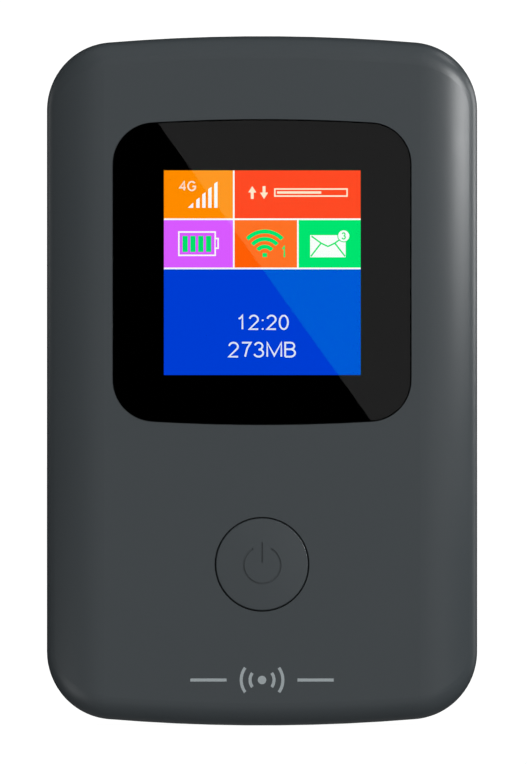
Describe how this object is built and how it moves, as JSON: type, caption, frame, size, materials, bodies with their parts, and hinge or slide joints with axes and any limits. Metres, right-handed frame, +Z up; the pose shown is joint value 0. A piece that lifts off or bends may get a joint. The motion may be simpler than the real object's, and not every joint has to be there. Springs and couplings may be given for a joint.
{
  "type": "mobile hotspot",
  "caption": "Pocket 4G-to-Wi-Fi router with a square display window, a round power key, a removable battery and a lift-off rear cover.",
  "frame": {"origin": "on the standing surface, under the middle of the body", "axes": "+X to the right seen from the front, +Y from the front face to the rear face, +Z up along the body's length"},
  "size_m": [0.056, 0.014, 0.0896],
  "materials": {
    "shell": "fine-textured dark grey",
    "cover": "fine-textured dark grey",
    "key": "smooth satin dark grey",
    "window": "clear glossy",
    "mask": "black print",
    "tape": "matte",
    "foam": "foam",
    "display": "glossy",
    "white_plastic": "moulded",
    "clear_plastic": "clear acrylic",
    "flex": "polyimide film",
    "black_plastic": "moulded",
    "steel": "stamped",
    "tin": "tinned can",
    "board": "solder mask over laminate",
    "chip": "moulded epoxy",
    "ceramic": "fired",
    "gold": "gold plated",
    "frame": "moulded",
    "battery": "wrapped",
    "label": "blank label"
  },
  "bodies": {
    "housing": {"front_shell": "shell", "display_window": "window", "display_mask": "mask", "window_adhesive": "tape", "lcd_gasket": "foam", "lcd_panel": "display", "lcd_frame": "white_plastic", "lcd_light_guide": "clear_plastic", "lcd_flex": "flex", "lcd_connector": "black_plastic", "power_switch_body": "steel", "main_board": "board", "baseband_shield": "tin", "radio_shield": "tin", "modem_chip": "chip", "memory_chip": "chip", "power_chip": "chip", "radio_chip": "chip", "wifi_chip": "chip", "small_parts": "ceramic", "usb_port_shell": "steel", "usb_port_tongue": "black_plastic", "usb_port_contacts": "gold", "sim_socket_base": "black_plastic", "sim_socket_cover": "steel", "sim_contacts": "gold", "battery_connector": "black_plastic", "battery_contacts": "gold", "reset_switch_body": "steel", "mid_frame": "frame", "housing_screws": "steel", "cellular_antenna": "flex", "diversity_antenna": "flex", "wifi_antenna": "flex", "antenna_springs": "gold", "bay_label": "label"},
    "power_key": {"power_button": "key", "power_switch_plunger": "black_plastic"},
    "reset_plunger": {"reset_switch_plunger": "black_plastic"},
    "battery": {"battery_pack": "battery", "battery_end_cap": "black_plastic", "battery_pads": "gold", "battery_label": "label"},
    "cover": {"rear_cover": "cover", "cover_pad": "foam"}
  },
  "joints": [
    {"name": "power_key_press", "type": "slide", "parent": "housing", "child": "power_key", "axis": [0, 1, 0], "range_m": [0, 0.0003], "stiffness_N_per_m": 2500, "springref_m": -0.0002},
    {"name": "reset_plunger_press", "type": "slide", "parent": "housing", "child": "reset_plunger", "axis": [0, -1, 0], "range_m": [0, 0.0002], "stiffness_N_per_m": 4000, "springref_m": -0.0002},
    {"name": "rear_cover_lift", "type": "slide", "parent": "housing", "child": "cover", "axis": [0, 1, 0], "range_m": [0, 0.036]},
    {"name": "battery_lift", "type": "slide", "parent": "housing", "child": "battery", "axis": [0, 1, 0], "range_m": [0, 0.018]}
  ],
  "couplings": [
    {"joint": "battery_lift", "follows": "rear_cover_lift", "ratio": 0.5}
  ]
}
